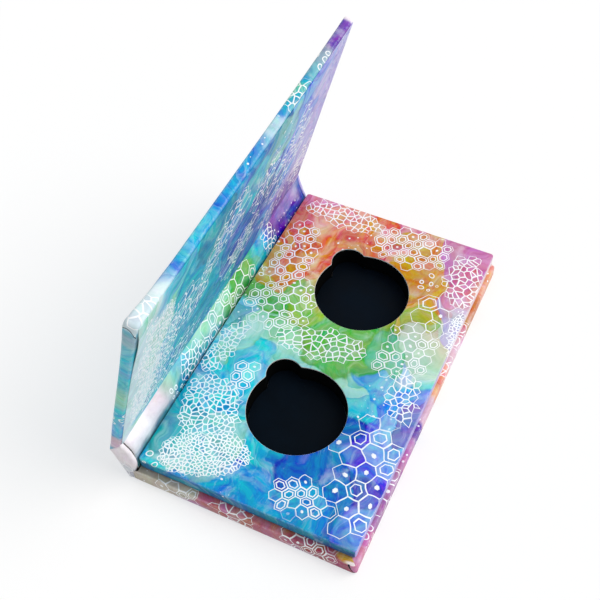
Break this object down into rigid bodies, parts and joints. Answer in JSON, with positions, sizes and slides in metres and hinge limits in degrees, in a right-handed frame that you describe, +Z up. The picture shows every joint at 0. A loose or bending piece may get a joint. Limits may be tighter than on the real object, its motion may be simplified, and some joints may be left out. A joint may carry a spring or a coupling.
{
  "type": "eyeshadow compact",
  "caption": "Book-style eyeshadow compact of paper-wrapped board: a printed tray with round pan wells and thumb notches on a base board, with a spine and a lid that fold over it.",
  "frame": {"origin": "middle of the base's underside, without the flap that runs on to the spine", "axes": "+X along the long side, +Y from the free edge to the spine, +Z up; the case stands open"},
  "size_m": [0.104, 0.0684, 0.0753],
  "materials": {
    "base_print": "satin laminate over a print",
    "spine_print": "satin laminate over a print",
    "lid_print": "satin laminate over a print",
    "tray_print": "satin laminate over a print",
    "liner": "satin laminate over a print",
    "greyboard": "raw",
    "black_board": "matte, dyed through",
    "coated_steel": "matte black coat",
    "nickel": "nickel plate"
  },
  "bodies": {
    "base": {"base_wrap": "base_print", "base_board_lower": "greyboard", "base_board_upper": "greyboard", "base_liner": "liner", "well_floor_left": "coated_steel", "well_floor_right": "coated_steel", "tray_wrap": "tray_print", "tray_core_lower": "black_board", "tray_core_upper": "black_board", "tray_magnet_left": "nickel", "tray_magnet_right": "nickel"},
    "spine": {"spine_wrap": "spine_print", "spine_board": "greyboard", "lower_hinge_liner": "liner", "upper_hinge_liner": "liner"},
    "lid": {"lid_wrap": "lid_print", "lid_board": "greyboard", "lid_liner": "liner", "lid_magnet_left": "nickel", "lid_magnet_right": "nickel"}
  },
  "joints": [
    {"name": "spine_hinge", "type": "hinge", "parent": "base", "child": "spine", "pos_m": [0, 0.0341, 0], "axis": [1, 0, 0], "range_deg": [-73.5, 16.5], "deforming": ["lower_hinge_liner", "upper_hinge_liner"]},
    {"name": "lid_hinge", "type": "hinge", "parent": "spine", "child": "lid", "pos_m": [0, 0.03759, 0.01179], "axis": [1, 0, 0], "range_deg": [-32.3, 57.7], "deforming": ["lower_hinge_liner", "upper_hinge_liner"]}
  ]
}
